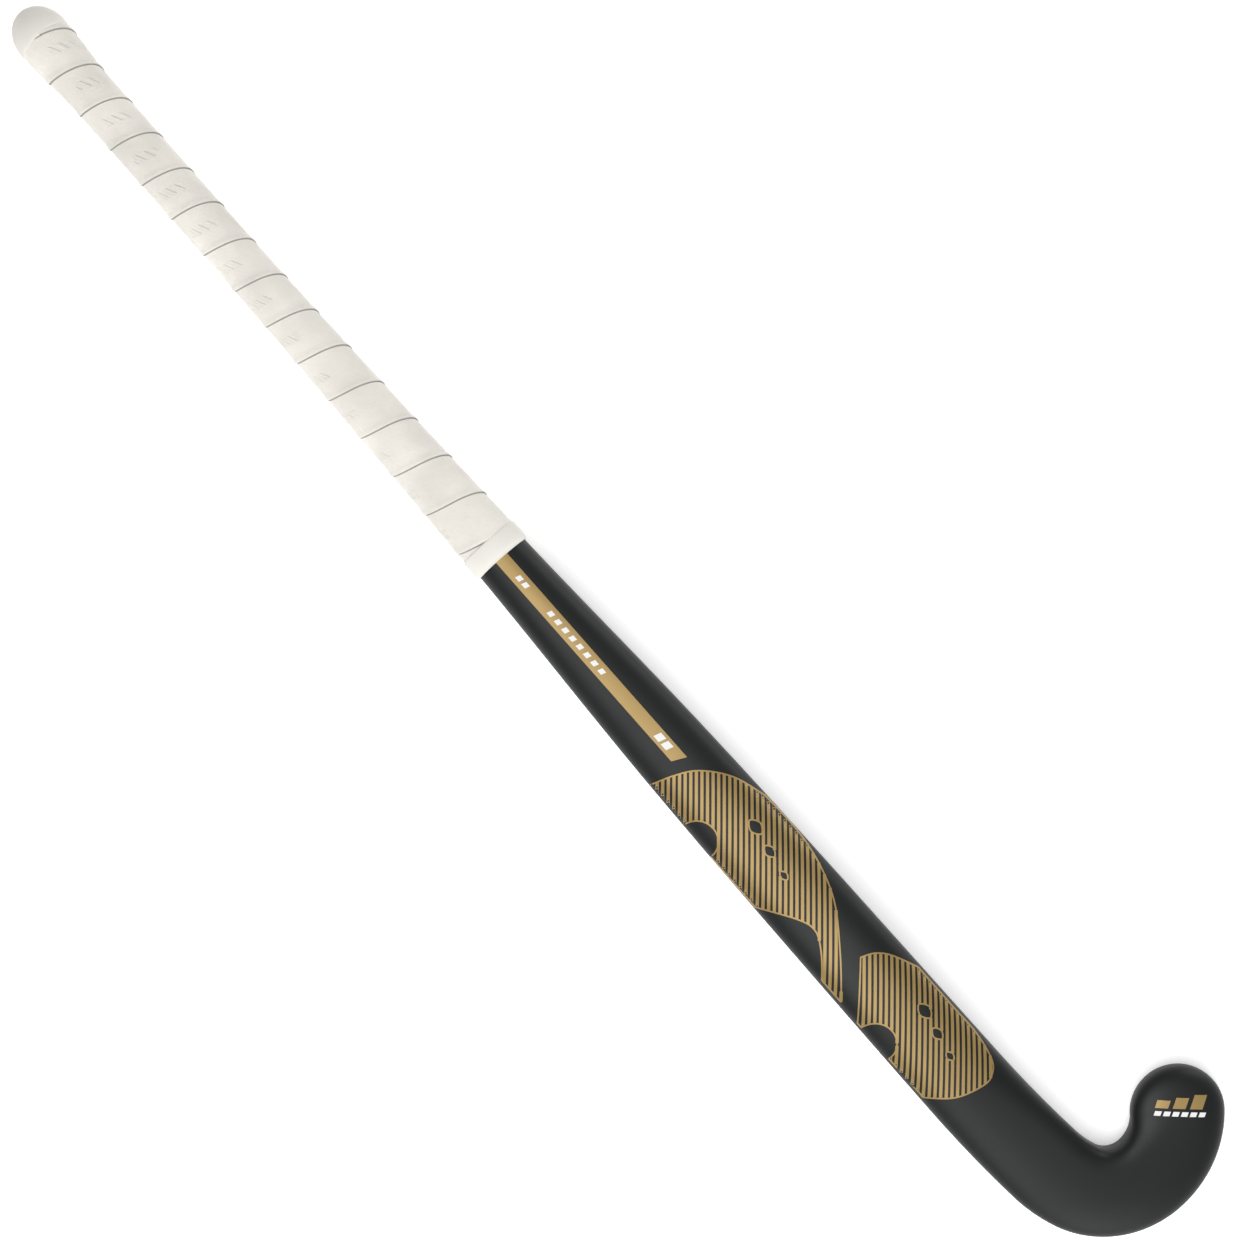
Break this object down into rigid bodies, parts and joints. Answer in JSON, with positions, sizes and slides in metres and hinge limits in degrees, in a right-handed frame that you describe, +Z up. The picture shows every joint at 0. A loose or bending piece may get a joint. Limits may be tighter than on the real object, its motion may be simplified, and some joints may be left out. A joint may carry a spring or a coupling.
{
  "type": "field hockey stick",
  "caption": "Right-handed field hockey stick: hollow handle with a spiral-wrapped white grip, bowed shaft with rounded back and flat playing face, solid J-shaped hook.",
  "frame": {"origin": "centre of the stick's outline seen from above, on the surface it lies on", "axes": "+X from the butt of the handle to the hook, +Y to the side the hook turns to, +Z up out of the rounded back; the flat playing face is down"},
  "size_m": [0.9273, 0.1294, 0.0445],
  "materials": {
    "painted_laminate": "satin black paint over a glass and carbon laminate, flat playing face and rounded back",
    "bare_laminate": "unpainted glass and carbon cloth in epoxy",
    "carbon_tape": "unidirectional carbon tape in epoxy",
    "rigid_foam": "rigid polyurethane foam",
    "head_foam": "dense filled polyurethane foam",
    "bladder_film": "thin nylon bladder film, left inside the handle",
    "white_rubber": "off-white moulded rubber",
    "adhesive_tape": "double-sided cloth tape",
    "white_grip": "warm white soft polyurethane grip tape, wound on in a spiral with raised overlaps",
    "finishing_tape": "off-white finishing tape, one turn",
    "gold_print": "flat metallic gold print",
    "white_print": "white print"
  },
  "bodies": {
    "root": {"outer_laminate": "painted_laminate", "structural_laminate": "bare_laminate", "stiffening_strip_back": "carbon_tape", "stiffening_strip_face": "carbon_tape", "butt_plug": "rigid_foam", "bladder_liner": "bladder_film", "handle_bulkhead": "rigid_foam", "shaft_core": "rigid_foam", "head_core": "head_foam", "butt_cap": "white_rubber", "grip_underlay": "adhesive_tape", "grip_tape": "white_grip", "grip_finishing_band": "finishing_tape", "spine_stripe": "gold_print", "spine_stripe_marks": "white_print", "panel_print_upper": "gold_print", "panel_print_lower": "gold_print", "toe_emblem": "gold_print", "toe_caption": "white_print"}
  },
  "joints": []
}
